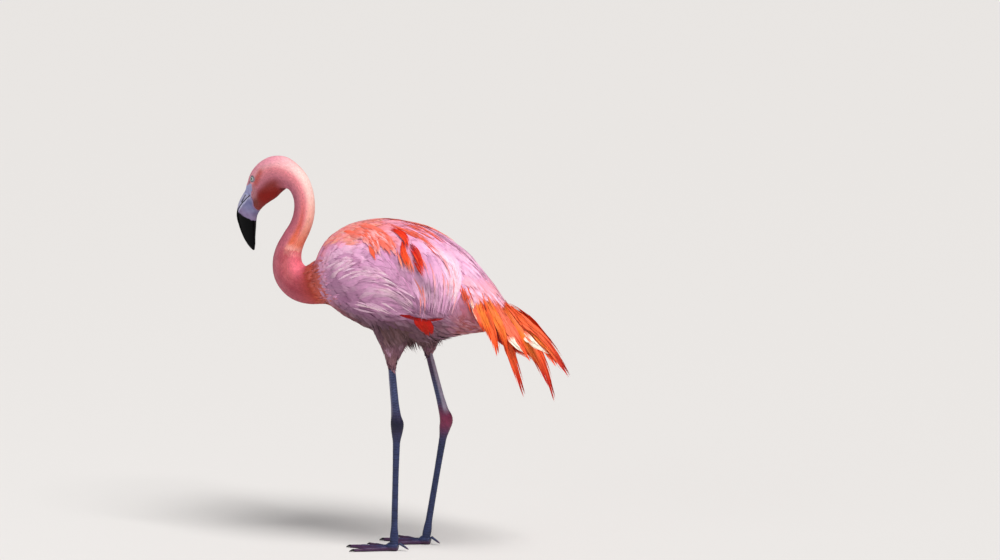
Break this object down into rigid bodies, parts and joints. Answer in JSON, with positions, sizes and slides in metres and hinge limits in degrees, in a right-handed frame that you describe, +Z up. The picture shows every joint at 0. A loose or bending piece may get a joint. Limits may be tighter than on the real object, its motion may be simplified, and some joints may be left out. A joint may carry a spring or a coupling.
{
  "type": "chilean flamingo model",
  "caption": "Life-size standing flamingo, neck in an S with the bill pointing down, wings folded, both webbed feet flat.",
  "frame": {"origin": "bottom centre of the bounding box, on the floor between the feet", "axes": "-Y is the way the body faces, +X the bird's left, +Z up"},
  "size_m": [0.1738, 0.6214, 0.659],
  "materials": {
    "plumage_pink": "soft feathers, matte",
    "plumage_pale": "soft feathers, matte",
    "plumage_orange": "soft feathers, matte",
    "horn_pale": "smooth horn, satin",
    "horn_black": "smooth horn, slight gloss",
    "eye": "glossy, dark pupil",
    "leg_skin": "scaly skin, matte",
    "ankle_skin": "scaly skin, matte"
  },
  "bodies": {
    "root": {"head": "plumage_pink", "neck_upper": "plumage_pink", "neck_middle": "plumage_pink", "neck_lower": "plumage_pink", "trunk": "plumage_pale", "tail": "plumage_pale", "bill_upper": "horn_pale", "bill_lower": "horn_pale", "bill_upper_tip": "horn_black", "bill_lower_tip": "horn_black", "wing_left": "plumage_orange", "eye_left": "eye", "thigh_left": "plumage_pale", "shin_left": "leg_skin", "ankle_left": "ankle_skin", "shank_left": "leg_skin", "foot_left": "leg_skin", "hind_toe_left": "leg_skin", "claw_inner_left": "horn_black", "claw_middle_left": "horn_black", "claw_outer_left": "horn_black", "wing_right": "plumage_orange", "eye_right": "eye", "thigh_right": "plumage_pale", "shin_right": "leg_skin", "ankle_right": "ankle_skin", "shank_right": "leg_skin", "foot_right": "leg_skin", "hind_toe_right": "leg_skin", "claw_inner_right": "horn_black", "claw_middle_right": "horn_black", "claw_outer_right": "horn_black"}
  },
  "joints": []
}
